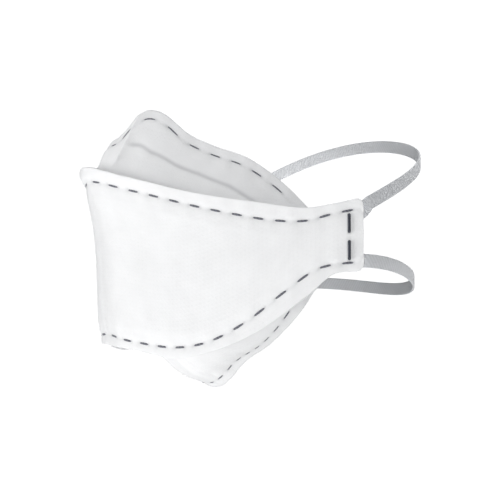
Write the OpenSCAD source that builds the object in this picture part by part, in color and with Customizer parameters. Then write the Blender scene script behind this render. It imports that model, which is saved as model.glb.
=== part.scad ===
// Disposable dust mask: three folded panels, a nose clip and two elastic head straps.
// The wearer's face is towards +Y, the front of the mask is towards -Y and +Z is up.
// The origin is the middle of the face opening, between the two side tabs.
// Each panel is a laminate of a cover, a filter layer and a lining.

/* [Panels] */
// Length along the centre panel from its middle to the end of a side tab
half_length = 108; // [104:1:112]
// Distance from the face opening to the front of the mask
front_depth = 80; // [78:0.5:82]
// Radius of the rounded front, seen from above
front_radius = 22; // [20:0.5:24]
// Angle that the front arc turns through on each side
front_turn = 36; // [35:0.5:37]
// Angle that each side turns through between the front arc and the tab
side_turn = 27; // [25:0.5:28]
// Radius of the corners of a side tab
tab_corner = 3; // [2:0.25:4]

/* [Layers] */
// Thickness of the outer cover
cover_t = 0.5; // [0.4:0.05:0.5]
// Thickness of the filter layer
filter_t = 0.5; // [0.4:0.05:0.5]
// Thickness of the inner lining
lining_t = 0.4; // [0.3:0.05:0.4]
// Free space between two layers of one panel
layer_gap = 0.1; // [0.1:0.01:0.12]

/* [Nose] */
// Width of the malleable nose clip
clip_w = 5; // [4:0.5:5]
// Thickness of the nose clip
clip_t = 0.7; // [0.5:0.1:0.8]
// Half of the nose clip's length, along the panel
clip_half = 44; // [40:1:46]
// Thickness of the foam cushion behind the nose clip
foam_t = 2.4; // [2:0.1:2.6]

/* [Seams] */
// Distance from one stitch to the next
stitch_pitch = 8.1; // [8:0.1:9]
// Length of one stitch
stitch_l = 4.2; // [3.5:0.1:4.5]
// Thread thickness in the two heavy seams of the centre panel
heavy_thread = 1.1; // [0.9:0.05:1.2]
// Thread thickness in the two free edges
light_thread = 0.8; // [0.7:0.05:0.9]

/* [Straps] */
// Width of the elastic
strap_w = 5; // [4:0.25:5.5]
// Thickness of the elastic
strap_t = 0.9; // [0.7:0.1:1]
// Length of a staple's crown
staple_l = 6.75; // [6:0.25:7]
// Thickness of the staple wire
staple_d = 1; // [0.8:0.05:1.1]

/* [Hidden] */

// Heights along the centre panel: [distance from the middle, height].
TOP_EDGE = [[0, 31], [20, 25.8], [45, 19], [70, 14.6], [87, 12.3], [97, 13.6], [108, 16]];
TOP_SEAM = [[0, 25.5], [20, 20.9], [45, 14.1], [60, 10.7], [75, 8], [87, 7.6], [97, 10], [108, 12.2]];
BOTTOM_SEAM = [[0, -32.2], [15, -34.5], [35, -37], [50, -35], [65, -28], [80, -17.2], [92, -9.4], [108, -7]];
BOTTOM_EDGE = [[0, -36.3], [15, -37.6], [34, -41], [52, -38.3], [70, -31.2], [88, -18.8], [97, -11.6], [108, -10.6]];

// Free edges of the nose and chin panels: [x, y, z] on the right side.
NOSE_EDGE = [[0, -70.5, 43], [7, -69.8, 44.2], [11, -66.6, 48.8], [14.5, -62.2, 52.6], [18.5, -57, 50.5],
  [24, -50.5, 43.2], [31, -43, 38], [40, -34, 33], [48, -26.2, 25.2], [53, -21, 18.5], [57, -17, 12.5]];
CHIN_EDGE = [[0, -27, -51], [7, -26.6, -50.2], [13, -25.5, -46.8], [18, -24.8, -43.2], [24, -24, -40.2],
  [36, -22.6, -35.8], [49, -21, -28.8], [57, -19.8, -22.8], [63, -19, -16]];
nose_reach = 86;
chin_reach = 90;

// The nose clip is pinched a little lower on the left side.
left_lobe_drop = 6.5;
left_lobe_x = -14;
left_lobe_w = 8;

// The bottom of the centre panel is pulled up a little on the left side.
left_rise = 6.2;
left_rise_s = -32;
left_rise_w = 22;

// The nose and chin panels hang inside the centre panel by this much.
nose_inset = 5;
chin_inset = 4;
// How far the middle of the nose panel swells out, and that of the chin panel is pulled in.
nose_swell = 1.6;
chin_pull = 3.5;
edge_margin = 3.8;

// Strap loops: depth behind the tabs, rise of the back, lean to the left, and where they start.
strap_x = 72.3;
strap_y = -5;
upper_loop = [56.8, 38.6, 11.6, 0.88, 0.85];
lower_loop = [51.9, -2.8, 9.2, 2.5, 2.16];
upper_start_z = 12;
lower_start_z = -6.6;
loop_first = 3;
loop_step = 3;

staple_s = 102.8;
leg_share = 0.85;
clinch_share = 0.92;
upper_staple_z = 6.6;
lower_staple_z = -3;

laminate_t = cover_t + filter_t + lining_t + 2 * layer_gap;
front_arc = front_radius * front_turn * PI / 180;
side_radius = (half_length - front_arc) / (side_turn * PI / 180);

// ---- interpolation ----

function span(k, s, i = 0) = (i >= len(k) - 2 || s < k[i + 1][0]) ? i : span(k, s, i + 1);
function slope(k, i, c) =
  let (a = max(i - 1, 0), b = min(i + 1, len(k) - 1)) (k[b][c] - k[a][c]) / (k[b][0] - k[a][0]);
// Slope of column c at knot i: level in the middle of the mask, so that the two halves meet smoothly.
function knot_slope(k, i, c) = i == 0 ? 0 : slope(k, i, c);
function along(k, s, c = 1) =
  let (i = span(k, s), h = k[i + 1][0] - k[i][0], u = (s - k[i][0]) / h, v = 1 - u)
  k[i][c] * v * v * (1 + 2 * u) + knot_slope(k, i, c) * h * u * v * v
  + k[i + 1][c] * u * u * (3 - 2 * u) - knot_slope(k, i + 1, c) * h * u * u * v;

function mix(a, b, t) = a + (b - a) * t;
function unit(v) = v / norm(v);
function side(s) = s < 0 ? -1 : 1;

// ---- centre panel ----

// Angle of the plan curve at distance s from the middle of the mask.
function turn(s) = abs(s) < front_arc ? abs(s) / front_radius * 180 / PI
  : front_turn + (abs(s) - front_arc) / side_radius * 180 / PI;
function plan(s) = let (a = turn(s), q = front_turn, r = front_radius, w = side_radius)
  abs(s) < front_arc ? [side(s) * r * sin(a), -front_depth + r * (1 - cos(a))]
  : [side(s) * (r * sin(q) + w * (sin(a) - sin(q))),
     -front_depth + r * (1 - cos(q)) + w * (cos(q) - cos(a))];
function outward(s) = [side(s) * sin(turn(s)), -cos(turn(s)), 0];

// The front leans back towards the chin in a shallow S, and the lean fades towards the tabs.
function lean(s, z) = let (q = (z + 8) / 36, fade = pow(1 - abs(s) / half_length, 2))
  (5.8 - 1.6 * q - 2.7 * pow(max(q, 0), 2) - 3.6 * q * q * q) * fade;
// The flange above the top seam stands forward.
function flare(s, z) = let (over = z - top_seam(s))
  over > 0 ? 0.25 * over * pow(1 - abs(s) / half_length, 2) : 0;
function centre_at(s, z) = let (p = plan(s))
  [p[0], p[1] + lean(s, min(z, 28)), z] + outward(s) * flare(s, z);

function bottom_rise(s) = left_rise * exp(-pow((s - left_rise_s) / left_rise_w, 2));
function bottom_edge(s) = along(BOTTOM_EDGE, abs(s)) + bottom_rise(s);
function bottom_seam(s) = along(BOTTOM_SEAM, abs(s)) + bottom_rise(s);
function top_edge(s) = along(TOP_EDGE, abs(s));
function top_seam(s) = along(TOP_SEAM, abs(s));

// Rounded corners at the end of a tab.
function corner_cut(s) = let (over = abs(s) - half_length + tab_corner)
  over <= 0 ? 0 : tab_corner - sqrt(max(0, tab_corner * tab_corner - over * over));
function centre_point(s, t) =
  centre_at(s, mix(bottom_edge(s) + corner_cut(s), top_edge(s) - corner_cut(s), t));

// ---- nose and chin panels ----

function lobe_drop(x) = left_lobe_drop * exp(-pow((x - left_lobe_x) / left_lobe_w, 2));
function nose_edge(s) = let (x = abs(s) / nose_reach * NOSE_EDGE[len(NOSE_EDGE) - 1][0])
  [side(s) * x, along(NOSE_EDGE, x, 1), along(NOSE_EDGE, x, 2) - lobe_drop(side(s) * x)];
function nose_root(s) = centre_at(s, top_seam(s) + 1.5) - outward(s) * nose_inset;
function nose_point(s, t) = mix(nose_root(s), nose_edge(s), t)
  + [0, -0.7, 0.7] * nose_swell * sin(180 * t) * (1 - abs(s) / nose_reach);

function chin_edge(s) = let (x = abs(s) / chin_reach * CHIN_EDGE[len(CHIN_EDGE) - 1][0])
  [side(s) * x, along(CHIN_EDGE, x, 1), along(CHIN_EDGE, x, 2)];
function chin_root(s) = centre_at(s, bottom_seam(s) - 1) - outward(s) * chin_inset;
// The chin panel is drawn in behind the centre panel, and full just above its free edge.
function chin_wave(t) = sin(180 * t) * (exp(-pow((t - 0.38) / 0.2, 2)) - 0.3 * exp(-pow((t - 0.75) / 0.15, 2)));
function chin_point(s, t) = mix(chin_root(s), chin_edge(s), t)
  + [0, 0, 1] * chin_pull * chin_wave(t) * (1 - abs(s) / chin_reach);

// ---- sheets of one panel ----

CENTRE = 0;
NOSE = 1;
CHIN = 2;
function panel_point(kind, s, t) =
  kind == CENTRE ? centre_point(s, t) : kind == NOSE ? nose_point(s, t) : chin_point(s, t);
// Direction out of the mask: the chin panel's t runs down and away from its seam.
function normal(kind, s, t) = let (h = 0.5, k = 0.04, t0 = max(t - k, 0), t1 = min(t + k, 1),
    s0 = max(s - h, -half_length), s1 = min(s + h, half_length),
    n = cross(panel_point(kind, s1, t) - panel_point(kind, s0, t), panel_point(kind, s, t1) - panel_point(kind, s, t0)))
  unit(n) * (kind == CHIN ? -1 : 1);
// A point at a depth below the outer face of a panel.
function below(kind, s, t, depth) = panel_point(kind, s, t) - normal(kind, s, t) * depth;

// A closed slab between two depths of a panel.
module sheet(kind, columns, rows, depth, thickness) {
  nc = len(columns);
  nr = len(rows);
  top = [for (s = columns, t = rows) below(kind, s, t, depth)];
  low = [for (s = columns, t = rows) below(kind, s, t, depth + thickness)];
  n = nc * nr;
  quads = [for (i = [0 : nc - 2], j = [0 : nr - 2]) [i * nr + j, i * nr + j + 1, (i + 1) * nr + j + 1, (i + 1) * nr + j]];
  rim = concat(
    [for (j = [0 : nr - 2]) [j, j + 1]],
    [for (i = [0 : nc - 2]) [i * nr + nr - 1, (i + 1) * nr + nr - 1]],
    [for (j = [nr - 2 : -1 : 0]) [(nc - 1) * nr + j + 1, (nc - 1) * nr + j]],
    [for (i = [nc - 2 : -1 : 0]) [(i + 1) * nr, i * nr]]);
  flip = kind == CHIN;
  faces = concat(
    [for (q = quads) [q[0], q[1], q[2]]], [for (q = quads) [q[0], q[2], q[3]]],
    [for (q = quads) [q[2] + n, q[1] + n, q[0] + n]], [for (q = quads) [q[3] + n, q[2] + n, q[0] + n]],
    [for (e = rim) [e[1], e[0], e[0] + n]], [for (e = rim) [e[1], e[0] + n, e[1] + n]]);
  polyhedron(concat(top, low), flip ? [for (f = faces) [f[2], f[1], f[0]]] : faces, convexity = 6);
}

function both_sides(half) = concat([for (i = [len(half) - 1 : -1 : 1]) -half[i]], half);
function steps(n) = [for (i = [0 : n]) i / n];

centre_columns = both_sides(concat([for (s = [0 : 4 : half_length - tab_corner - 0.5]) s],
  [for (a = [0 : 30 : 90]) half_length - tab_corner + tab_corner * sin(a) - (a == 90 ? 0.02 : 0)]));
nose_columns = both_sides([for (i = [0 : 22]) i / 22 * nose_reach]);
chin_columns = both_sides([for (i = [0 : 22]) i / 22 * chin_reach]);

filter_depth = cover_t + layer_gap;
lining_depth = filter_depth + filter_t + layer_gap;
clip_depth = laminate_t + 0.15;
foam_depth = clip_depth + clip_t + 0.15;

module centre_outer_cover() { color("white") sheet(CENTRE, centre_columns, steps(8), 0, cover_t); }
module centre_filter_layer() { color("ghostwhite") sheet(CENTRE, centre_columns, steps(8), filter_depth, filter_t); }
module centre_inner_lining() { color("whitesmoke") sheet(CENTRE, centre_columns, steps(8), lining_depth, lining_t); }
module nose_outer_cover() { color("white") sheet(NOSE, nose_columns, steps(6), 0, cover_t); }
module nose_filter_layer() { color("ghostwhite") sheet(NOSE, nose_columns, steps(6), filter_depth, filter_t); }
module nose_inner_lining() { color("whitesmoke") sheet(NOSE, nose_columns, steps(6), lining_depth, lining_t); }
module chin_outer_cover() { color("white") sheet(CHIN, chin_columns, steps(6), 0, cover_t); }
module chin_filter_layer() { color("ghostwhite") sheet(CHIN, chin_columns, steps(6), filter_depth, filter_t); }
module chin_inner_lining() { color("whitesmoke") sheet(CHIN, chin_columns, steps(6), lining_depth, lining_t); }

// A strip of the nose panel, between two distances from its free edge.
nose_strip_columns = both_sides([for (i = [0 : 12]) i / 12 * clip_half]);
module nose_strip(from_edge, width, depth, thickness) {
  cols = nose_strip_columns;
  // The panel is about 20 to 29 mm wide here, so its share of t is worked out at each column.
  rows = [for (k = [0 : 2]) from_edge + width * (1 - k / 2)];
  pts = function (d) [for (s = cols, r = rows) below(NOSE, s, 1 - r / norm(nose_edge(s) - nose_root(s)), d)];
  ribbon(pts(depth), pts(depth + thickness), len(cols), len(rows));
}

module ribbon(top, low, nc, nr) {
  n = nc * nr;
  quads = [for (i = [0 : nc - 2], j = [0 : nr - 2]) [i * nr + j, i * nr + j + 1, (i + 1) * nr + j + 1, (i + 1) * nr + j]];
  rim = concat(
    [for (j = [0 : nr - 2]) [j, j + 1]],
    [for (i = [0 : nc - 2]) [i * nr + nr - 1, (i + 1) * nr + nr - 1]],
    [for (j = [nr - 2 : -1 : 0]) [(nc - 1) * nr + j + 1, (nc - 1) * nr + j]],
    [for (i = [nc - 2 : -1 : 0]) [(i + 1) * nr, i * nr]]);
  polyhedron(concat(top, low), concat(
    [for (q = quads) [q[0], q[1], q[2]]], [for (q = quads) [q[0], q[2], q[3]]],
    [for (q = quads) [q[2] + n, q[1] + n, q[0] + n]], [for (q = quads) [q[3] + n, q[2] + n, q[0] + n]],
    [for (e = rim) [e[1], e[0], e[0] + n]], [for (e = rim) [e[1], e[0] + n, e[1] + n]]), convexity = 6);
}

module nose_clip() { color("silver") nose_strip(5.5, clip_w, clip_depth, clip_t); }
module nose_foam_cushion() { color("lightgray") nose_strip(3, 10, foam_depth, foam_t); }

// ---- stitching ----

module bar(p, q, d) {
  v = q - p;
  translate(p) rotate([0, acos(v[2] / norm(v)), atan2(v[1], v[0])]) cylinder(d = d, h = norm(v), $fn = 16);
}

// Bars along one seam of the centre panel, whose height at each place is that of its upper or lower seam.
module seam_stitching(upper) {
  for (m = [-1, 1], s = [stitch_pitch * 0.62 : stitch_pitch : half_length - stitch_l])
    let (a = m * (s - stitch_l / 2), b = m * (s + stitch_l / 2))
      bar(centre_at(a, upper ? top_seam(a) : bottom_seam(a)),
          centre_at(b, upper ? top_seam(b) : bottom_seam(b)), heavy_thread);
}
function inset_t(kind, s) = 1 - edge_margin
  / norm(kind == NOSE ? nose_edge(s) - nose_root(s) : chin_edge(s) - chin_root(s));
module edge_stitching(kind, reach) {
  for (m = [-1, 1], s = [stitch_pitch * 0.7 : stitch_pitch * 1.05 : reach - stitch_l * 1.5])
    let (a = m * (s - stitch_l / 2), b = m * (s + stitch_l / 2))
      bar(panel_point(kind, a, inset_t(kind, a)), panel_point(kind, b, inset_t(kind, b)), light_thread);
}
module nose_edge_stitching() { color("dimgray") edge_stitching(NOSE, nose_reach); }
module upper_seam_stitching() { color("dimgray") seam_stitching(true); }
module lower_seam_stitching() { color("dimgray") seam_stitching(false); }
module chin_edge_stitching() { color("dimgray") edge_stitching(CHIN, chin_reach); }

// ---- straps and staples ----

function loop_point(l, z0, a) =
  [strap_x * cos(a), strap_y + l[0] * sin(a),
   z0 + l[1] * pow(sin(a), l[3]) - l[2] * cos(a) * pow(sin(a), l[4])];

// A band through a list of points: its width stays upright and its thickness is level.
module band(points) {
  last = len(points) - 1;
  level = [for (i = [0 : last])
    let (v = points[min(i + 1, last)] - points[max(i - 1, 0)]) unit([v[1], -v[0], 0])];
  rise = [0, 0, strap_w / 2];
  rings = [for (i = [0 : last]) let (p = points[i], n = level[i] * strap_t / 2)
    each [p + n + rise, p + n - rise, p - n - rise, p - n + rise]];
  sides = [for (i = [0 : last - 1], j = [0 : 3]) let (k = (j + 1) % 4)
    each [[i * 4 + j, i * 4 + k, i * 4 + 4 + k], [i * 4 + j, i * 4 + 4 + k, i * 4 + 4 + j]]];
  polyhedron(rings, concat([for (f = sides) [f[2], f[1], f[0]]],
    [[0, 1, 2], [0, 2, 3]], [[last * 4, last * 4 + 2, last * 4 + 1], [last * 4, last * 4 + 3, last * 4 + 2]]),
    convexity = 6);
}
module strap_loop(l, z0) {
  band([for (a = [loop_first : loop_step : 180 - loop_first]) loop_point(l, z0, a)]);
}
// The end of a strap lies on the inner face of the tab, from the staple to the tab's edge.
module strap_end(z_staple, z_exit) {
  depth = laminate_t + 0.1 + strap_t / 2;
  for (m = [-1, 1])
    band([for (i = [0 : 4]) let (s = mix(staple_s - 3, half_length, i / 4), p = plan(s))
      [m * p[0], p[1], mix(z_staple, z_exit, i / 4)] - depth * outward(m * s)]);
}
module upper_strap() { color("darkgray") strap_loop(upper_loop, upper_start_z); }
module lower_strap() { color("darkgray") strap_loop(lower_loop, lower_start_z); }
module upper_strap_ends() { color("darkgray") strap_end(upper_staple_z - 1, upper_start_z - 0.6); }
module lower_strap_ends() { color("darkgray") strap_end(lower_staple_z, lower_start_z); }

// A staple: crown on the outer face, two legs through the tab and the strap, and clinched ends.
module staple(z, m) {
  p = concat(plan(m * staple_s), z);
  out = outward(m * staple_s);
  crown = p + out * 0.3;
  foot = p - out * (laminate_t + strap_t + 0.6);
  up = [0, 0, staple_l / 2];
  legs = [0, 0, staple_l / 2 - staple_d * 0.8];
  bar(crown - up, crown + up, staple_d);
  for (q = [-1, 1]) {
    bar(crown + q * legs, foot + q * legs, staple_d * leg_share);
    bar(foot + q * up * 0.9, foot + q * up * 0.2, staple_d * clinch_share);
  }
}
module upper_staples() { color("slategray") for (m = [-1, 1]) staple(upper_staple_z, m); }
module lower_staples() { color("slategray") for (m = [-1, 1]) staple(lower_staple_z, m); }

centre_outer_cover();
centre_filter_layer();
centre_inner_lining();
nose_outer_cover();
nose_filter_layer();
nose_inner_lining();
chin_outer_cover();
chin_filter_layer();
chin_inner_lining();
nose_clip();
nose_foam_cushion();
nose_edge_stitching();
upper_seam_stitching();
lower_seam_stitching();
chin_edge_stitching();
upper_strap();
lower_strap();
upper_strap_ends();
lower_strap_ends();
upper_staples();
lower_staples();
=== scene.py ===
import math

import bpy
import numpy as np
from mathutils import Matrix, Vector


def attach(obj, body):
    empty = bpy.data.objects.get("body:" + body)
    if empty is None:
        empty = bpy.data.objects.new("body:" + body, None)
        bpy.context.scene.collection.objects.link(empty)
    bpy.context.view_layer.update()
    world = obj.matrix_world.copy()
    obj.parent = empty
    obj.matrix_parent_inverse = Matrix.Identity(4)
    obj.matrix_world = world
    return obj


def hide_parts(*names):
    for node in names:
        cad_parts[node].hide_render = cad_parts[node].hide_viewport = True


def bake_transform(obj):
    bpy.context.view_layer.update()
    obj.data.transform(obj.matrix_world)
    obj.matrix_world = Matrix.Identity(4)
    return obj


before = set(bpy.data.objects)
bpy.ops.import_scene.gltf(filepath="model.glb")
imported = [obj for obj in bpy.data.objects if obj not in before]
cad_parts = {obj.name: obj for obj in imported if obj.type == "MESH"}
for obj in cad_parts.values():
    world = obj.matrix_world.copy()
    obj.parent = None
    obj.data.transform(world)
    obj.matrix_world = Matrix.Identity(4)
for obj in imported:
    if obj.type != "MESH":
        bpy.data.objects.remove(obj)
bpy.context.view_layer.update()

MM = 0.001
TAU = 2 * math.pi

# ---------------------------------------------------------------- camera

CAMERA_AZIMUTH, CAMERA_ELEVATION = math.radians(62), math.radians(-6)
CAMERA_DISTANCE = 0.55
CAMERA_TARGET = Vector((0.0002, -0.0116, 0.00348))
CAMERA_LENS, CAMERA_SENSOR = 99.2, 36


def direction(azimuth, elevation):
    """The way out from the mask: azimuth 0 is the mask's front, -Y, and 90 degrees is +X."""
    level = math.cos(elevation)
    return Vector((math.sin(azimuth) * level, -math.cos(azimuth) * level, math.sin(elevation)))


def aim(obj, toward):
    """Turns a camera or a lamp that stands out along toward, so that it looks back at the mask."""
    obj.rotation_mode = "QUATERNION"
    obj.rotation_quaternion = (-toward).to_track_quat("-Z", "Y")


def show(obj):
    bpy.context.scene.collection.objects.link(obj)
    return obj


def make_camera():
    back = direction(CAMERA_AZIMUTH, CAMERA_ELEVATION)
    data = bpy.data.cameras.new("camera")
    data.lens, data.sensor_width = CAMERA_LENS, CAMERA_SENSOR
    data.clip_start, data.clip_end = 0.02, 100
    camera = show(bpy.data.objects.new("camera", data))
    camera.location = CAMERA_TARGET + back * CAMERA_DISTANCE
    aim(camera, back)
    bpy.context.scene.camera = camera


make_camera()

# ---------------------------------------------------------------- the mask's shape, as in the CAD (mm)

# Across the mask, s is the distance from the middle along the centre panel; -X is negative.
# Up a panel, t runs from 0 to 1: from the lower edge, or from the seam out to the free edge.

HALF_LENGTH, FRONT_DEPTH, FRONT_RADIUS, FRONT_TURN, SIDE_TURN = 108, 80, 22, 36, 27
TAB_CORNER = 3
COVER_T, FILTER_T, LINING_T, LAYER_GAP = 0.5, 0.5, 0.4, 0.1
CLIP_W, CLIP_T, CLIP_HALF, FOAM_T = 5, 0.7, 44, 2.4
STITCH_PITCH, STITCH_L, HEAVY_THREAD, LIGHT_THREAD = 8.1, 4.2, 1.1, 0.8
STRAP_W, STRAP_T, STAPLE_L, STAPLE_D = 5, 0.9, 6.75, 1.0

# Edges and seams of the centre panel: [s, z].
TOP_EDGE = [[0, 31], [20, 25.8], [45, 19], [70, 14.6], [87, 12.3], [97, 13.6], [108, 16]]
TOP_SEAM = [[0, 25.5], [20, 20.9], [45, 14.1], [60, 10.7], [75, 8], [87, 7.6], [97, 10], [108, 12.2]]
BOTTOM_SEAM = [[0, -32.2], [15, -34.5], [35, -37], [50, -35], [65, -28], [80, -17.2], [92, -9.4], [108, -7]]
BOTTOM_EDGE = [[0, -36.3], [15, -37.6], [34, -41], [52, -38.3], [70, -31.2], [88, -18.8], [97, -11.6],
               [108, -10.6]]
# Free edges of the nose and chin panels: [x, y, z].
NOSE_EDGE = [[0, -70.5, 43], [7, -69.8, 44.2], [11, -66.6, 48.8], [14.5, -62.2, 52.6], [18.5, -57, 50.5],
             [24, -50.5, 43.2], [31, -43, 38], [40, -34, 33], [48, -26.2, 25.2], [53, -21, 18.5],
             [57, -17, 12.5]]
CHIN_EDGE = [[0, -27, -51], [7, -26.6, -50.2], [13, -25.5, -46.8], [18, -24.8, -43.2], [24, -24, -40.2],
             [36, -22.6, -35.8], [49, -21, -28.8], [57, -19.8, -22.8], [63, -19, -16]]
NOSE_REACH, CHIN_REACH = 86, 90
NOSE_INSET, CHIN_INSET, NOSE_SWELL, CHIN_PULL, EDGE_MARGIN = 5, 4, 1.6, 3.5, 3.8
LEFT_LOBE_DROP, LEFT_RISE, LEFT_RISE_S, LEFT_RISE_W = 6.5, 6.2, -32, 22
STRAP_X, STRAP_Y = 72.3, -5
# Each loop: reach back, rise, lean across, and the powers that shape the rise and the lean.
UPPER_LOOP, LOWER_LOOP = [56.8, 38.6, 11.6, 0.88, 0.85], [51.9, -2.8, 9.2, 2.5, 2.16]
UPPER_START_Z, LOWER_START_Z = 12, -6.6
STAPLE_S, UPPER_STAPLE_Z, LOWER_STAPLE_Z = 102.8, 6.6, -3
LAMINATE_T = COVER_T + FILTER_T + LINING_T + 2 * LAYER_GAP
FRONT_ARC = FRONT_RADIUS * math.radians(FRONT_TURN)
SIDE_RADIUS = (HALF_LENGTH - FRONT_ARC) / math.radians(SIDE_TURN)

CENTRE, NOSE, CHIN = 0, 1, 2
REACH = {CENTRE: HALF_LENGTH, NOSE: NOSE_REACH, CHIN: CHIN_REACH}


def along(knots, s, c=1):
    """Column c of the knots, drawn through as a smooth curve, at s."""
    k = np.array(knots, float)
    x, y = k[:, 0], k[:, c]
    m = np.zeros(len(x))
    m[1:-1] = (y[2:] - y[:-2]) / (x[2:] - x[:-2])
    m[-1] = (y[-1] - y[-2]) / (x[-1] - x[-2])
    i = np.clip(np.searchsorted(x, s, side="right") - 1, 0, len(x) - 2)
    h = x[i + 1] - x[i]
    u = (s - x[i]) / h
    v = 1 - u
    return (y[i] * v * v * (1 + 2 * u) + m[i] * h * u * v * v
            + y[i + 1] * u * u * (3 - 2 * u) - m[i + 1] * h * u * u * v)


def bell(x, width):
    return np.exp(-(x / width) ** 2)


def turn(s):
    """How far the plan has turned at s: round the front first, then gently along the side."""
    a = np.abs(s)
    return np.where(a < FRONT_ARC, a / FRONT_RADIUS, math.radians(FRONT_TURN) + (a - FRONT_ARC) / SIDE_RADIUS)


def plan(s):
    a, q, r, w = turn(s), math.radians(FRONT_TURN), FRONT_RADIUS, SIDE_RADIUS
    front = np.abs(s) < FRONT_ARC
    x = np.where(front, r * np.sin(a), r * math.sin(q) + w * (np.sin(a) - math.sin(q)))
    y = np.where(front, r * (1 - np.cos(a)), r * (1 - math.cos(q)) + w * (math.cos(q) - np.cos(a)))
    return np.sign(s) * x, y - FRONT_DEPTH


def outward(s):
    a = turn(s)
    return np.stack([np.sign(s) * np.sin(a), -np.cos(a), 0 * a], -1)


def top_edge(s):
    return along(TOP_EDGE, np.abs(s))


def top_seam(s):
    return along(TOP_SEAM, np.abs(s))


def bottom_edge(s):
    return along(BOTTOM_EDGE, np.abs(s)) + LEFT_RISE * bell(s - LEFT_RISE_S, LEFT_RISE_W)


def bottom_seam(s):
    return along(BOTTOM_SEAM, np.abs(s)) + LEFT_RISE * bell(s - LEFT_RISE_S, LEFT_RISE_W)


def centre_at(s, z):
    """The centre panel at s and height z: it leans out at the front and its top rim flares."""
    s, z = np.broadcast_arrays(np.asarray(s, float), np.asarray(z, float))
    x, y = plan(s)
    fade = (1 - np.abs(s) / HALF_LENGTH) ** 2
    q = (np.minimum(z, 28) + 8) / 36
    over = np.maximum(z - top_seam(s), 0)
    p = np.stack([x, y + (5.8 - 1.6 * q - 2.7 * np.maximum(q, 0) ** 2 - 3.6 * q ** 3) * fade, z], -1)
    return p + outward(s) * (0.25 * over * fade)[..., None]


def corner_cut(s):
    """How much the rounded corner of a tab takes off at s."""
    over = np.clip(np.abs(s) - HALF_LENGTH + TAB_CORNER, 0, TAB_CORNER)
    return TAB_CORNER - np.sqrt(TAB_CORNER ** 2 - over ** 2)


def centre_point(s, t):
    cut = corner_cut(s)
    low, high = bottom_edge(s) + cut, top_edge(s) - cut
    return centre_at(s, low + (high - low) * t)


def nose_edge(s):
    x = np.abs(s) / NOSE_REACH * NOSE_EDGE[-1][0]
    sx = np.sign(s) * x
    drop = LEFT_LOBE_DROP * bell(sx + 14, 8)
    return np.stack([sx, along(NOSE_EDGE, x, 1), along(NOSE_EDGE, x, 2) - drop], -1)


def nose_root(s):
    return centre_at(s, top_seam(s) + 1.5) - outward(s) * NOSE_INSET


def chin_edge(s):
    x = np.abs(s) / CHIN_REACH * CHIN_EDGE[-1][0]
    return np.stack([np.sign(s) * x, along(CHIN_EDGE, x, 1), along(CHIN_EDGE, x, 2)], -1)


def chin_root(s):
    return centre_at(s, bottom_seam(s) - 1) - outward(s) * CHIN_INSET


def free_panel(root, edge, s, t, reach, wave, swell):
    bulge = (wave * np.sin(math.pi * t) * (1 - np.abs(s) / reach))[..., None]
    return root + (edge - root) * t[..., None] + np.array(swell) * bulge


def panel_point(kind, s, t):
    s, t = np.broadcast_arrays(np.asarray(s, float), np.asarray(t, float))
    if kind == CENTRE:
        return centre_point(s, t)
    if kind == NOSE:
        return free_panel(nose_root(s), nose_edge(s), s, t, NOSE_REACH, 1,
                          [0, -0.7 * NOSE_SWELL, 0.7 * NOSE_SWELL])
    return free_panel(chin_root(s), chin_edge(s), s, t, CHIN_REACH,
                      bell(t - 0.38, 0.2) - 0.3 * bell(t - 0.75, 0.15), [0, 0, CHIN_PULL])


def panel_height(kind, s):
    if kind == CENTRE:
        return top_edge(s) - bottom_edge(s)
    root, edge = (nose_root(s), nose_edge(s)) if kind == NOSE else (chin_root(s), chin_edge(s))
    return np.linalg.norm(edge - root, axis=-1)


# How far behind the centre panel's face the seam ends of the nose and chin panels come to rest.
ROOT_DEPTH = 2.4
ROOT_PUSH = {NOSE: NOSE_INSET - ROOT_DEPTH, CHIN: CHIN_INSET - ROOT_DEPTH}


def worn_point(kind, s, t):
    """As the CAD's panel, with a nose or chin panel's seam end brought out to the centre panel's lining."""
    s, t = np.broadcast_arrays(np.asarray(s, float), np.asarray(t, float))
    p = panel_point(kind, s, t)
    if kind == CENTRE:
        return p
    u = np.clip(1 - t / 0.4, 0, 1)
    return p + outward(s) * (ROOT_PUSH[kind] * u * u * (3 - 2 * u))[..., None]


# ---------------------------------------------------------------- the fabric's relief (mm, outward)

def seam_places():
    return np.arange(STITCH_PITCH * 0.62, HALF_LENGTH - STITCH_L + 0.001, STITCH_PITCH)


def edge_places(reach):
    return np.arange(STITCH_PITCH * 0.7, reach - STITCH_L * 1.5 + 0.001, STITCH_PITCH * 1.05)


def seam_pull(s, off, places, depth):
    """How far a running stitch pulls the fabric in, and the small waves beside it."""
    a = np.abs(s)
    under = sum(bell(a - p, STITCH_L * 0.55) for p in places)
    holes = sum(bell(a - p + k * STITCH_L * 0.5, 0.7) for p in places for k in (-1, 1))
    near = bell(off, 1.3)
    ripple = np.cos(TAU * (a - places[0]) / (places[1] - places[0]))
    pull = depth * near * (0.35 + 0.5 * under + 0.5 * holes * bell(off, 0.9))
    return -pull - 0.16 * ripple * bell(off, 4.5) * (1 - near)


def soft_waves(s, v, amount, seed):
    """Slow, seeded undulation of a soft sheet."""
    rng = np.random.default_rng(seed)
    total = 0
    for _ in range(9):
        length = rng.uniform(22, 60)
        heading, phase = rng.uniform(0, TAU), rng.uniform(0, TAU)
        wave = np.cos(TAU * (s * math.cos(heading) + v * math.sin(heading)) / length + phase)
        total = total + wave * length / 60
    return amount * total / 3


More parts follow.
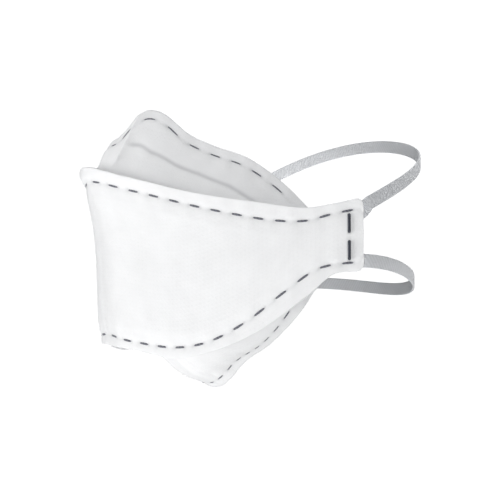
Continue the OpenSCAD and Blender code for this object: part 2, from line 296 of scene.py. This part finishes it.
# The nose panel's pressed crease: [s, t] along it, and [s, depth].
CREASE = [[0, 0.7], [12, 0.66], [17.8, 0.58], [25, 0.465], [44, 0.46], [56.5, 0.4], [65, 0.3],
          [72.5, 0.19], [80, 0.1]]
CREASE_DEPTH = [[0, 0.0], [15.5, 0.0], [18.5, 1.0], [66, 0.9], [76, 0.0]]
CREASE_W = 1.5
SEAM_PULL, EDGE_PULL = 0.35, 0.3
CENTRE_WAVE, FREE_WAVE = 0.28, 0.2
LOFT = 0.5
# The raised fold beside the nose, from seam to edge, and the dent across the chin panel.
NOSE_RIDGE_S, NOSE_RIDGE_SLANT, NOSE_RIDGE_H, NOSE_RIDGE_W = 8.6, 9.6, 1.3, 2.2
CHIN_DENT_S, CHIN_DENT_SLANT, CHIN_DENT_DEPTH, CHIN_DENT_W = 16, 10, 0.6, 2.2


def knots_at(knots, x):
    k = np.array(knots, float)
    return np.interp(x, k[:, 0], k[:, 1])


def crease(s, t):
    """Distance above the nose panel's pressed crease, and how deep the crease is there, in mm."""
    a = np.abs(s)
    return (t - knots_at(CREASE, a)) * panel_height(NOSE, s), knots_at(CREASE_DEPTH, a)


def painted_shade(kind, s, t):
    """From 0 to 1: painted shade, a darkening of the colour along the seams and at the stitch holes, in the
    nose panel's crease, and faintly over the facet above it.
    """
    height = panel_height(kind, s)
    v = t * height
    total = 0.0
    if kind == CENTRE:
        z = bottom_edge(s) + v
        lines = [(z - top_seam(s), seam_places()), (z - bottom_seam(s), seam_places())]
    else:
        lines = [(height - EDGE_MARGIN - v, edge_places(REACH[kind]))]
    for off, places in lines:
        for q in places:
            for k in (-1, 1):
                # Painted shade at both ends of each stitch, where the thread goes through, and faintly along
                # the whole seam line.
                total = total + 0.6 * bell(np.abs(s) - q - k * STITCH_L / 2, 0.55) * bell(off, 0.55)
        total = total + 0.12 * bell(off, 1.0)
    if kind == NOSE:
        d, depth = crease(s, t)
        # Painted shade in the nose panel's crease, and a fainter painted shade over the whole facet above it.
        total = total + 0.75 * bell(d, 0.75) * np.clip(depth, 0, 1) + 0.1 * np.clip(d * 2, 0, 1)
    return np.clip(total, 0, 1)


def relief(kind, s, t):
    """How far the shown face stands out from the CAD's panel: seams, waves, loft, creases and folds."""
    height = panel_height(kind, s)
    v = t * height
    if kind == CENTRE:
        z = bottom_edge(s) + v
        up, low = z - top_seam(s), z - bottom_seam(s)
        flat = np.clip((HALF_LENGTH - np.abs(s)) / 30, 0, 1)
        loft = LOFT * np.clip(-up / 5, 0, 1) * np.clip(low / 5, 0, 1) * flat
        between = flat * np.clip(-up / 6, 0, 1) * np.clip(low / 6, 0, 1)
        return (seam_pull(s, up, seam_places(), SEAM_PULL) + seam_pull(s, low, seam_places(), SEAM_PULL)
                + soft_waves(s, v, CENTRE_WAVE, 3) * between + loft - 0.3)
    a, off = np.abs(s), height - EDGE_MARGIN - v
    between = np.clip(v / 6, 0, 1) * np.clip(off / 4, 0, 1)
    total = seam_pull(s, off, edge_places(REACH[kind]), EDGE_PULL)
    total = total + soft_waves(s, v, FREE_WAVE, 5 + kind) * between
    if kind == NOSE:
        d, depth = crease(s, t)
        ridge = a - (NOSE_RIDGE_S + NOSE_RIDGE_SLANT * t)
        total = total - depth * np.exp(-np.sqrt(d * d + 0.09) / CREASE_W)
        crest = np.exp(-np.sqrt(ridge * ridge + 0.06) / NOSE_RIDGE_W)
        return total + NOSE_RIDGE_H * crest * np.clip(t * 4, 0, 1)
    dent = bell(a - CHIN_DENT_S + CHIN_DENT_SLANT * (1 - t), CHIN_DENT_W)
    return total - CHIN_DENT_DEPTH * dent * np.clip(v / 5, 0, 1) * np.clip(off / 3, 0, 1)


def squeeze(kind, s, t):
    """Share of the laminate's full thickness: thin at the welded rims and under the seams."""
    height = panel_height(kind, s)
    v = t * height
    rim = np.minimum(np.minimum(v, height - v), REACH[kind] - np.abs(s))
    share = 1 - 0.3 * bell(rim, 1.5)
    if kind == CENTRE:
        z = bottom_edge(s) + v
        for line in (top_seam, bottom_seam):
            share = share * (1 - 0.25 * bell(z - line(s), 1.0))
    return share


def grid_normals(p, kind):
    ds, dt = np.gradient(p, axis=0), np.gradient(p, axis=1)
    n = np.cross(ds, dt)
    n /= np.maximum(np.linalg.norm(n, axis=-1, keepdims=True), 1e-9)
    return -n if kind == CHIN else n


def dress(kind, s, t):
    """The shown outer face of a panel and its outward directions, on a grid of s and t."""
    p = worn_point(kind, s, t)
    n = grid_normals(p, kind)
    p = p + n * relief(kind, s, t)[..., None]
    return p, grid_normals(p, kind)


# ---------------------------------------------------------------- mesh tools

def new_mesh(name, verts_mm, faces, uv):
    """A smooth object from points in mm. A third uv column is kept as the painted shade mark."""
    mesh = bpy.data.meshes.new(name)
    mesh.from_pydata([tuple(v) for v in np.asarray(verts_mm) * MM], [], [tuple(map(int, f)) for f in faces])
    layer = mesh.uv_layers.new(name="fabric_mm")
    index = np.zeros(len(mesh.loops), int)
    mesh.loops.foreach_get("vertex_index", index)
    layer.data.foreach_set("uv", np.asarray(uv, float)[index][:, :2].ravel())
    if np.shape(uv)[1] > 2:
        mark = mesh.attributes.new("painted_shade", "FLOAT", "POINT")
        mark.data.foreach_set("value", np.asarray(uv, float)[:, 2].copy())
    mesh.polygons.foreach_set("use_smooth", [True] * len(mesh.polygons))
    mesh.update()
    return show(bpy.data.objects.new(name, mesh))


RIM = 0.3


def slab(name, outer, inner, uv, flip):
    """A closed sheet between two grids of points, with softly rounded rims."""
    n, m = outer.shape[:2]
    thick = np.linalg.norm(outer - inner, axis=-1, keepdims=True)
    mid = (outer + inner) / 2

    def lip(edge, inside):
        """The rim's middle line, pushed out past the edge by a share of the thickness."""
        d = mid[edge] - mid[inside]
        return mid[edge] + d / np.maximum(np.linalg.norm(d, axis=-1, keepdims=True), 1e-9) * thick[edge] * RIM

    far_lip = lip(np.s_[:, m - 1], np.s_[:, m - 2])
    near_lip = lip(np.s_[:, 0], np.s_[:, 1])
    ring = np.concatenate([outer, far_lip[:, None], inner[:, ::-1], near_lip[:, None]], 1)
    r = ring.shape[1]
    uvs = np.concatenate([uv, uv[:, -1:], uv[:, ::-1], uv[:, :1]], 1)
    faces = []
    for i in range(n - 1):
        for j in range(r):
            k = (j + 1) % r
            faces.append((i * r + j, i * r + k, (i + 1) * r + k, (i + 1) * r + j))
    verts = ring.reshape(-1, 3)
    extra, extra_uv = [], []
    for i, turned in ((0, False), (n - 1, True)):
        base = len(verts) + len(extra)
        extra.extend(lip(i, 1 if i == 0 else n - 2))
        extra_uv.extend(uv[i])
        out = [i * r + j for j in range(m)]
        inn = [i * r + (r - 2 - j) for j in range(m)]
        caps = []
        for j in range(m - 1):
            caps.append((out[j + 1], out[j], base + j, base + j + 1))
            caps.append((base + j + 1, base + j, inn[j], inn[j + 1]))
        caps.append((out[0], i * r + r - 1, base))
        caps.append((i * r + r - 1, inn[0], base))
        caps.append((i * r + m, out[m - 1], base + m - 1))
        caps.append((inn[m - 1], i * r + m, base + m - 1))
        faces.extend([c[::-1] for c in caps] if turned else caps)
    verts = np.concatenate([verts, np.array(extra)])
    uvs = np.concatenate([uvs.reshape(-1, uv.shape[-1]), np.array(extra_uv)])
    if flip:
        faces = [f[::-1] for f in faces]
    return new_mesh(name, verts, faces, uvs)


def tube(path, section, ups):
    """Points, faces and uvs of a closed tube: section(i) gives (side, up) offsets in mm round each ring."""
    path = np.asarray(path, float)
    tangent = np.gradient(path, axis=0)
    tangent /= np.linalg.norm(tangent, axis=1, keepdims=True)
    verts, uvs = [], []
    run = np.concatenate([[0], np.cumsum(np.linalg.norm(np.diff(path, axis=0), axis=1))])
    for i, p in enumerate(path):
        up = np.asarray(ups[i], float)
        up = up - tangent[i] * np.dot(up, tangent[i])
        up /= np.linalg.norm(up)
        side = np.cross(tangent[i], up)
        ring = section(i)
        for j, (a, b) in enumerate(ring):
            verts.append(p + side * a + up * b)
            uvs.append((run[i], j / len(ring)))
    k = len(section(0))
    faces = [(i * k + j, i * k + (j + 1) % k, (i + 1) * k + (j + 1) % k, (i + 1) * k + j)
             for i in range(len(path) - 1) for j in range(k)]
    faces.append(tuple(range(k))[::-1])
    faces.append(tuple((len(path) - 1) * k + j for j in range(k)))
    return np.array(verts), faces, np.array(uvs)


def join(parts):
    verts, faces, uvs, base = [], [], [], 0
    for v, f, u in parts:
        verts.append(v)
        uvs.append(u)
        faces.extend([tuple(base + q for q in face) for face in f])
        base += len(v)
    return np.concatenate(verts), faces, np.concatenate(uvs)


# ---------------------------------------------------------------- materials

class Shader:
    """A material built from its own sockets and a few procedural textures."""

    def __init__(self, name, color, roughness, **inputs):
        self.material = bpy.data.materials.new(name)
        self.material.use_nodes = True
        self.tree = self.material.node_tree
        self.base = self.tree.nodes["Principled BSDF"]
        self.base.inputs["Base Color"].default_value = (*color, 1)
        self.base.inputs["Roughness"].default_value = roughness
        for key, value in inputs.items():
            self.base.inputs[key.replace("_", " ")].default_value = value
        self.normal = None

    def node(self, kind, values=None, **settings):
        n = self.tree.nodes.new(kind)
        for key, value in settings.items():
            setattr(n, key, value)
        for key, value in (values or {}).items():
            if hasattr(value, "is_linked"):
                self.tree.links.new(value, n.inputs[key])
            else:
                n.inputs[key].default_value = value
        return n

    def uv(self, scale=(1, 1, 1)):
        at = self.node("ShaderNodeUVMap", uv_map="fabric_mm").outputs[0]
        return self.node("ShaderNodeMapping", {"Vector": at, "Scale": scale}).outputs[0]

    def place(self, scale=(1 / MM,) * 3):
        """The object's own space, in mm unless it is stretched."""
        at = self.node("ShaderNodeTexCoord").outputs["Object"]
        return self.node("ShaderNodeMapping", {"Vector": at, "Scale": scale}).outputs[0]

    def noise(self, vector, scale, detail=2.0, distortion=0.0):
        return self.node("ShaderNodeTexNoise", {"Vector": vector, "Scale": scale, "Detail": detail,
                                                "Distortion": distortion}).outputs[0]

    def wave(self, vector, scale, axis="X", distortion=0.0):
        return self.node("ShaderNodeTexWave", {"Vector": vector, "Scale": scale, "Distortion": distortion},
                         wave_type="BANDS", bands_direction=axis).outputs["Fac"]

    def maths(self, kind, a, b):
        return self.node("ShaderNodeMath", {0: a, 1: b}, operation=kind).outputs[0]

    def bump(self, height, depth_mm):
        values = {"Height": height, "Distance": depth_mm * MM, "Strength": 1.0}
        if self.normal is not None:
            values["Normal"] = self.normal
        self.normal = self.node("ShaderNodeBump", values).outputs[0]
        self.tree.links.new(self.normal, self.base.inputs["Normal"])

    def tint(self, factor, dark, light, low=0.3, high=0.7):
        ramp = self.node("ShaderNodeValToRGB", {"Fac": factor})
        for stop, position, color in zip(ramp.color_ramp.elements, (low, high), (dark, light)):
            stop.position, stop.color = position, (*color, 1)
        self.tree.links.new(ramp.outputs[0], self.base.inputs["Base Color"])

    def darken(self, attribute, share):
        """Paints shade: where the attribute is 1, the base colour is multiplied by share."""
        mark = self.node("ShaderNodeAttribute", attribute_name=attribute).outputs["Fac"]
        before = self.base.inputs["Base Color"].links[0].from_socket
        mix = self.node("ShaderNodeMix", data_type="RGBA", blend_type="MULTIPLY")
        self.tree.links.new(mark, mix.inputs["Factor"])
        self.tree.links.new(before, mix.inputs[6])
        mix.inputs[7].default_value = (share, share, share * 1.02, 1)
        self.tree.links.new(mix.outputs[2], self.base.inputs["Base Color"])

    def rough(self, factor, low, high):
        spread = self.node("ShaderNodeMapRange", {"Value": factor, "To Min": low, "To Max": high}).outputs[0]
        self.tree.links.new(spread, self.base.inputs["Roughness"])


def shade(color, share):
    return tuple(min(1.0, c * share) for c in color)


def nonwoven(name, color, bond_mm, fibre_mm, soft_mm):
    """Spunbonded fabric: random fibres, a faint grid of bond points and soft patches."""
    sh = Shader(name, color, 0.8, Sheen_Weight=0.12, Sheen_Roughness=0.5, Specular_IOR_Level=0.25)
    fibres = sh.noise(sh.uv((1.6, 5.2, 1)), 1.0, 5.0, 1.4)
    patches = sh.noise(sh.uv(), 0.11, 3.0)
    dots = sh.node("ShaderNodeTexVoronoi", {"Vector": sh.uv((0.62, 0.62, 1)), "Scale": 1.0,
                                            "Randomness": 0.08}).outputs["Distance"]
    cups = sh.node("ShaderNodeMapRange", {"Value": dots, "From Min": 0.12, "From Max": 0.36}).outputs[0]
    sh.bump(patches, soft_mm)
    sh.bump(cups, bond_mm)
    sh.bump(fibres, fibre_mm)
    mixed = sh.maths("ADD", sh.maths("MULTIPLY", patches, 0.7), sh.maths("MULTIPLY", fibres, 0.3))
    sh.tint(mixed, shade(color, 0.965), shade(color, 1.03))
    # Painted shade: the fabric's colour is darkened along the seams, at the stitch holes and in the nose
    # crease.
    sh.darken("painted_shade", 0.62)
    sh.rough(fibres, 0.72, 0.9)
    return sh.material


def thread_material(name, color):
    """Twisted thread: slanting plies with a little fuzz, with painted shade in the grooves between the plies
    and a painted highlight on their crests.
    """
    sh = Shader(name, color, 0.65, Sheen_Weight=0.2, Specular_IOR_Level=0.3)
    ply = sh.wave(sh.uv((1.0, 1.6, 1)), 0.55, "DIAGONAL", 0.4)
    fuzz = sh.noise(sh.place(), 3.0, 4.0)
    sh.bump(ply, 0.16)
    sh.bump(fuzz, 0.04)
    # Painted shade and highlight: the colour follows the ply bumps, darker in the grooves and lighter on the
    # crests.
    sh.tint(ply, shade(color, 0.7), shade(color, 1.25), 0.1, 0.8)
    sh.rough(fuzz, 0.55, 0.8)
    return sh.material


def elastic_material(name, color):
    """Braided elastic: lengthwise cords with slanting stitches across them."""
    sh = Shader(name, color, 0.7, Sheen_Weight=0.25, Sheen_Roughness=0.4, Specular_IOR_Level=0.3)
    ribs = sh.wave(sh.uv((0.0, 1.0, 1)), 5.0, "Y")
    picks = sh.wave(sh.uv((1.0, 3.2, 1)), 0.42, "DIAGONAL", 0.3)
    fuzz = sh.noise(sh.place(), 2.2, 4.0)
    slow = sh.noise(sh.place(), 0.08, 2.0)
    sh.bump(ribs, 0.14)
    sh.bump(picks, 0.05)
    sh.bump(fuzz, 0.03)
    mixed = sh.maths("ADD", sh.maths("MULTIPLY", picks, 0.45), sh.maths("MULTIPLY", slow, 0.55))
    sh.tint(mixed, shade(color, 0.93), shade(color, 1.05), 0.2, 0.8)
    sh.rough(fuzz, 0.6, 0.85)
    return sh.material


def foam_material(name, color):
    """Open-cell foam: small cells with finer pores between them, with painted shade in the hollow of each
    cell.
    """
    sh = Shader(name, color, 0.92, Specular_IOR_Level=0.15)
    cells = sh.node("ShaderNodeTexVoronoi", {"Vector": sh.place(), "Scale": 1.5, "Randomness": 1.0})
    pores = sh.noise(sh.place(), 1.1, 5.0)
    sh.bump(cells.outputs["Distance"], 0.3)
    sh.bump(pores, 0.2)
    # Painted shade: the colour follows the cell bumps, darker in each cell's hollow and lighter on the walls
    # between.
    sh.tint(cells.outputs["Distance"], shade(color, 0.6), shade(color, 1.15), 0.05, 0.6)
    sh.rough(pores, 0.85, 0.98)
    return sh.material


def metal_material(name, color, metallic, roughness):
    """Rolled metal: fine upright scratches and slow wear."""
    sh = Shader(name, color, roughness, Metallic=metallic, Specular_IOR_Level=0.5)
    scratch = sh.noise(sh.place((9000, 9000, 900)), 0.5, 3.0)
    wear = sh.noise(sh.place(), 0.8, 4.0)
    sh.bump(scratch, 0.012)
    sh.tint(wear, shade(color, 0.8), shade(color, 1.25))
    sh.rough(scratch, roughness * 0.75, roughness * 1.35)
    return sh.material


COVER_FABRIC = nonwoven("cover_fabric", (0.80, 0.805, 0.815), 0.022, 0.05, 0.25)
FILTER_FABRIC = nonwoven("filter_fabric", (0.76, 0.765, 0.775), 0.01, 0.09, 0.3)
LINING_FABRIC = nonwoven("lining_fabric", (0.79, 0.795, 0.805), 0.05, 0.05, 0.25)
THREAD = thread_material("thread", (0.14, 0.145, 0.17))
ELASTIC = elastic_material("strap_elastic", (0.70, 0.715, 0.74))
FOAM = foam_material("cushion_foam", (0.34, 0.35, 0.37))
CLIP = metal_material("clip_metal", (0.72, 0.73, 0.75), 1.0, 0.35)
WIRE = metal_material("staple_wire", (0.045, 0.05, 0.065), 0.35, 0.4)


# Where the fabric of each free panel starts to turn with it, and where it follows it wholly: (y, z) in mm.
TURNS = {"nose_panel": ((-45.5, 18.2), (-41.9, 30.7)), "chin_panel": ((-19.2, -22.5), (-14.7, -33.6))}


def place(obj, body, slot, material, *nodes):
    """Puts a finished piece on its body with its material; those of a free panel are baked where they stand
    and left unattached.
    """
    obj.data.materials.clear()
    obj.data.materials.append(material)
    if body in TURNS:
        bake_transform(obj)
    else:
        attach(obj, body)
    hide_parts(*nodes)
    return obj


# ---------------------------------------------------------------- panels

def columns(reach, corner=0.0):
    """Places across a panel, closer together round a rounded corner."""
    step = 0.6
    inner = np.linspace(0, reach - corner, int((reach - corner) / step) + 1)
    if corner:
        a = np.linspace(0, math.pi / 2, 9)[1:]
        inner = np.concatenate([inner, reach - corner + corner * np.sin(a)])
        inner[-1] = reach - 0.02
    return np.concatenate([-inner[:0:-1], inner])


# Each layer: name, depth of its outer face, thickness, material and slot.
LAYERS = [("outer_cover", 0.0, COVER_T, COVER_FABRIC, "cover_fabric"),
          ("filter_layer", COVER_T + LAYER_GAP, FILTER_T, FILTER_FABRIC, "filter_fabric"),
          ("inner_lining", COVER_T + FILTER_T + 2 * LAYER_GAP, LINING_T, LINING_FABRIC, "lining_fabric")]
# Each panel: name, kind, reach, corner radius, rows of faces and body.
PANELS = [("centre", CENTRE, HALF_LENGTH, TAB_CORNER, 100, "centre_panel"),
          ("nose", NOSE, NOSE_REACH, 0, 60, "nose_panel"),
          ("chin", CHIN, CHIN_REACH, 0, 54, "chin_panel")]


def make_panels():
    for name, kind, reach, corner, rows, body in PANELS:
        rows = rows
        s, t = np.meshgrid(columns(reach, corner), np.linspace(0, 1, rows + 1), indexing="ij")
        p, n = dress(kind, s, t)
        share = squeeze(kind, s, t)[..., None]
        # The third column is the painted shade mark.
        uv = np.stack([s, t * panel_height(kind, s), painted_shade(kind, s, t)], -1)
        tall = float(panel_height(kind, s).max()) * MM
        for layer, depth, thick, material, slot in LAYERS:
            node = f"{name}_{layer}"
            outer, inner = p - n * depth * share, p - n * (depth + thick) * share
            obj = slab(node + "_cloth", outer, inner, uv, kind == CHIN)
            place(obj, body, slot, material, node)


# ---------------------------------------------------------------- nose clip and cushion

def nose_strip(name, from_edge, width, depth, thickness, rounding, lumps=0.0):
    """A strip behind the nose panel: from_edge is below its free edge, depth is behind its shown face."""
    s, q = np.meshgrid(columns(CLIP_HALF), np.linspace(0, 1, 15), indexing="ij")
    t = 1 - (from_edge + width * (1 - q)) / panel_height(NOSE, s)
    p, n = dress(NOSE, s, t)
    edge = np.minimum(np.minimum(q, 1 - q) * width, CLIP_HALF - np.abs(s))
    short = 1 - np.clip(edge / rounding, 0, 1)
    round_in = rounding * (1 - np.sqrt(np.clip(1 - short ** 2, 0, 1)))
    swell = soft_waves(s, q * width, lumps, 21) if lumps else 0
    outer = p - n * (depth + round_in * 0.4)[..., None]
    inner = p - n * (depth + thickness - round_in * 0.9 + swell)[..., None]
    return slab(name, outer, inner, np.stack([s, q * width], -1), False)


CLIP_FROM_EDGE, FOAM_FROM_EDGE, FOAM_W, FITTING_GAP = 5.5, 3, 10, 0.15


def make_nose_fittings():
    clip_depth = LAMINATE_T + FITTING_GAP
    clip = nose_strip("nose_clip_strip", CLIP_FROM_EDGE, CLIP_W, clip_depth, CLIP_T, 0.3)
    place(clip, "nose_panel", "clip_metal", CLIP, "nose_clip")
    foam_depth = clip_depth + CLIP_T + FITTING_GAP
    foam = nose_strip("nose_cushion_pad", FOAM_FROM_EDGE, FOAM_W, foam_depth, FOAM_T, 1.2, 0.2)
    place(foam, "nose_panel", "cushion_foam", FOAM, "nose_foam_cushion")


# ---------------------------------------------------------------- stitching

def surface_line(kind, s, t):
    """Points and outward directions of the shown face along a line of (s, t)."""
    grid_t = t[:, None] + np.array([[-0.02, 0, 0.02]])
    p = worn_point(kind, s[:, None], grid_t)
    n = grid_normals(p, kind)[:, 1]
    return p[:, 1] + n * relief(kind, s, t)[:, None], n


def stitch(kind, s0, s1, t_of, thread, inside=False):
    """One dash of thread from s0 to s1, sunk at both ends. It always runs toward +X, as the outward
    directions are worked out along it."""
    u = np.linspace(0, 1, 13)
    s0, s1 = min(s0, s1), max(s0, s1)
    s = s0 + (s1 - s0) * u
    p, n = surface_line(kind, s, t_of(s))
    arch = np.sin(math.pi * u)
    lift = (0.34 * np.maximum(arch, 0) ** 0.5 - 0.38) * thread
    if inside:
        p, n = p - n * (LAMINATE_T * 0.75), -n
    path = p + n * lift[:, None]
    waist = thread / 2 * (0.6 + 0.4 * np.maximum(arch, 0) ** 0.2)
    angles = np.linspace(0, TAU, 10, endpoint=False)
    return tube(path, lambda i: [(waist[i] * math.cos(a), 0.8 * waist[i] * math.sin(a)) for a in angles], n)


def centre_t(line):
    """The t of a seam of the centre panel, as a function of s."""
    def t_of(s):
        low = bottom_edge(s)
        return (line(s) - low) / (top_edge(s) - low)
    return t_of


def rim_t(kind):
    """The t of the stitching along a free panel's edge, as a function of s."""
    return lambda s: 1 - EDGE_MARGIN / panel_height(kind, s)


def make_stitching():
    """Rows of dashes on the outside, with shorter and thinner ones between them on the inside."""
    half, inset = STITCH_L / 2, 0.2
    heavy, light = HEAVY_THREAD * 0.8, LIGHT_THREAD * 0.75
    jobs = [("upper_seam", CENTRE, seam_places(), centre_t(top_seam), heavy, "centre_panel"),
            ("lower_seam", CENTRE, seam_places(), centre_t(bottom_seam), heavy, "centre_panel"),
            ("nose_edge", NOSE, edge_places(NOSE_REACH), rim_t(NOSE), light, "nose_panel"),
            ("chin_edge", CHIN, edge_places(CHIN_REACH), rim_t(CHIN), light, "chin_panel")]
    for name, kind, places, t_of, thread, body in jobs:
        parts = []
        for m in (-1, 1):
            for q in places:
                parts.append(stitch(kind, m * (q - half), m * (q + half), t_of, thread))
            for a, b in zip(places[:-1], places[1:]):
                start, end = m * (a + half + inset), m * (b - half - inset)
                parts.append(stitch(kind, start, end, t_of, thread * 0.8, True))
        obj = new_mesh(name + "_thread", *join(parts))
        place(obj, body, "thread", THREAD, name + "_stitching")


# ---------------------------------------------------------------- straps and staples

def smooth_path(points, spacing=1.0):
    """A smooth curve through the points, in steps of about spacing."""
    p = np.asarray(points, float)
    out = []
    for i in range(len(p) - 1):
        a, b = p[max(i - 1, 0)], p[min(i + 2, len(p) - 1)]
        m0, m1 = (p[i + 1] - a) / 2, (b - p[i]) / 2
        count = max(2, int(np.linalg.norm(p[i + 1] - p[i]) / spacing))
        for u in np.arange(count) / count:
            v = 1 - u
            out.append(p[i] * v * v * (1 + 2 * u) + m0 * u * v * v
                       + p[i + 1] * u * u * (3 - 2 * u) - m1 * u * u * v)
    out.append(p[-1])
    return np.array(out)


def strap_section(width, thick, steps=5):
    """Flat band with rounded edges, as offsets (across, up)."""
    r = thick / 2
    pts = []
    for corner, start in ((1, 0), (-1, math.pi)):
        for k in range(steps + 1):
            a = start + math.pi * k / steps
            pts.append((r * math.cos(a), corner * (width / 2 - r) + r * math.sin(a)))
    return pts


def tab_run(m, z_staple, z_exit):
    """A strap's end behind the tab on side m, from short of the staple out to the tab's end."""
    depth = LAMINATE_T + LAYER_GAP + STRAP_T / 2
    start = STAPLE_S - 3
    u = np.linspace(0, 1, 5)
    s = m * (start + (HALF_LENGTH - start) * u)
    x, y = plan(s)
    return np.stack([x, y, z_staple + (z_exit - z_staple) * u], -1) - outward(s) * depth


def make_strap(name, loop, z_start, z_staple, z_exit, nodes):
    """One band from tab to tab, baked where it stands: its ends lie against the centre panel behind the tabs,
    and its loop runs round behind them.
    """
    back, rise, lean, rise_power, lean_power = loop
    a = np.radians(np.arange(3, 178, 3))
    sin, cos = np.sin(a), np.cos(a)
    ring = np.stack([STRAP_X * cos, STRAP_Y + back * sin,
                     z_start + rise * sin ** rise_power - lean * cos * sin ** lean_power], -1)
    near, far = (tab_run(m, z_staple, z_exit) for m in (1, -1))
    path = smooth_path(np.concatenate([near, ring, far[::-1]]))
    section = strap_section(STRAP_W, STRAP_T)
    v, f, uv = tube(path, lambda i: section, [(0, 0, 1)] * len(path))
    across = v[:, 2].reshape(len(path), -1)
    across = (across - across.mean(1, keepdims=True)).ravel() / STRAP_W
    uv = np.stack([uv[:, 0], across], -1)
    obj = new_mesh(name + "_band", v, f, uv)
    obj.data.materials.append(ELASTIC)
    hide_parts(*nodes)
    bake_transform(obj)
    return obj


def make_staples(name, z):
    """A staple at height z on each tab: a crown outside, two legs through, and feet bent in behind."""
    parts = []
    up = np.array([0, 0, 1.0])
    half = STAPLE_L / 2 - 0.3
    foot = LAMINATE_T + STRAP_T + 0.35
    # Half the wire, foot to crown: how far out from the tab's face, and how far up from its middle.
    key = [(-foot - 0.2, half * 0.25), (-foot, half * 0.7), (-foot + 0.5, half), (-0.4, half),
           (0.12, half - 0.1), (0.3, half - 0.55), (0.36, half * 0.5), (0.36, 0)]
    for m in (-1, 1):
        s = np.array(float(m * STAPLE_S))
        x, y = plan(s)
        out = outward(s)
        p = np.array([float(x), float(y), z])
        line = [p + out * a + up * b for a, b in key] + [p + out * a - up * b for a, b in key[-2::-1]]
        path = smooth_path(line, 0.2)
        angles = np.linspace(0, TAU, 14, endpoint=False)
        ends = np.clip(np.minimum(np.arange(len(path)), np.arange(len(path))[::-1]) / 3.0, 0, 1)
        size = STAPLE_D / 2 * (0.35 + 0.65 * np.sqrt(ends))
        parts.append(tube(path, lambda i: [(size[i] * math.cos(a), 1.15 * size[i] * math.sin(a))
                                           for a in angles], [np.cross(out, up)] * len(path)))
    obj = new_mesh(name + "_wire", *join(parts))
    place(obj, "centre_panel", "staple_wire", WIRE, name)


def make_fastenings():
    make_strap("upper_strap", UPPER_LOOP, UPPER_START_Z, UPPER_STAPLE_Z - 1,
               UPPER_START_Z - 0.6, ["upper_strap", "upper_strap_ends"])
    make_strap("lower_strap", LOWER_LOOP, LOWER_START_Z, LOWER_STAPLE_Z,
               LOWER_START_Z, ["lower_strap", "lower_strap_ends"])
    make_staples("upper_staples", UPPER_STAPLE_Z)
    make_staples("lower_staples", LOWER_STAPLE_Z)


# ---------------------------------------------------------------- studio

FLOOR_Z, FLOOR_R, FLOOR_CURVE, WALL_H = -1.1, 8.0, 2.5, 9.0
# The paper glows, so that with the air's light it stays white behind a mask that is lit softly.
FLOOR_GLOW, WORLD_LIGHT = 0.9, 0.2
# Each light: name, azimuth, elevation, distance, size and power.
LIGHTS = [("key_light", -2, -4, 1.6, 1.0, 16.5),
          ("low_light", 68, -66, 1.5, 1.2, 19.0),
          ("top_light", 65, 48, 1.8, 1.2, 14.5),
          ("side_light", 140, 12, 1.8, 1.0, 5.0),
          ("back_light", 195, 25, 1.8, 1.2, 20.0)]


def make_floor():
    """A plain pale floor that curves up into a round backdrop, far below and round the mask."""
    level = FLOOR_R - FLOOR_CURVE
    profile = [(level, 0.0)]
    profile += [(level + FLOOR_CURVE * math.sin(a), FLOOR_CURVE * (1 - math.cos(a)))
                for a in np.radians(np.arange(10, 91, 10))]
    profile += [(FLOOR_R, WALL_H)]
    turns = 64
    verts = [(0, 0, FLOOR_Z)]
    for r, h in profile:
        verts += [(r * math.cos(TAU * k / turns), r * math.sin(TAU * k / turns), FLOOR_Z + h)
                  for k in range(turns)]
    faces = [(0, 1 + k, 1 + (k + 1) % turns) for k in range(turns)]
    for i in range(len(profile) - 1):
        a, b = 1 + i * turns, 1 + (i + 1) * turns
        faces += [(a + k, b + k, b + (k + 1) % turns, a + (k + 1) % turns) for k in range(turns)]
    mesh = bpy.data.meshes.new("studio_floor")
    mesh.from_pydata(verts, [], faces)
    mesh.polygons.foreach_set("use_smooth", [True] * len(mesh.polygons))
    floor = show(bpy.data.objects.new("studio_floor", mesh))
    sh = Shader("studio_paper", (0.9, 0.9, 0.9), 0.9)
    sh.base.inputs["Emission Color"].default_value = (1, 1, 1, 1)
    sh.base.inputs["Emission Strength"].default_value = FLOOR_GLOW
    floor.data.materials.append(sh.material)
    floor.visible_diffuse = floor.visible_glossy = floor.visible_shadow = False


def make_lights():
    world = bpy.data.worlds.new("studio_air")
    world.use_nodes = True
    air = world.node_tree.nodes["Background"]
    air.inputs["Color"].default_value = (0.95, 0.97, 1.0, 1)
    air.inputs["Strength"].default_value = WORLD_LIGHT
    bpy.context.scene.world = world
    for name, azimuth, elevation, distance, size, power in LIGHTS:
        data = bpy.data.lights.new(name, "AREA")
        data.shape, data.size, data.energy = "DISK", size, power
        data.color = (1.0, 0.995, 0.985)
        lamp = show(bpy.data.objects.new(name, data))
        toward = direction(math.radians(azimuth), math.radians(elevation))
        lamp.location = toward * distance
        aim(lamp, toward)


make_panels()
make_nose_fittings()
make_stitching()
make_fastenings()
make_floor()
make_lights()
bpy.context.scene.view_settings.view_transform = "Standard"
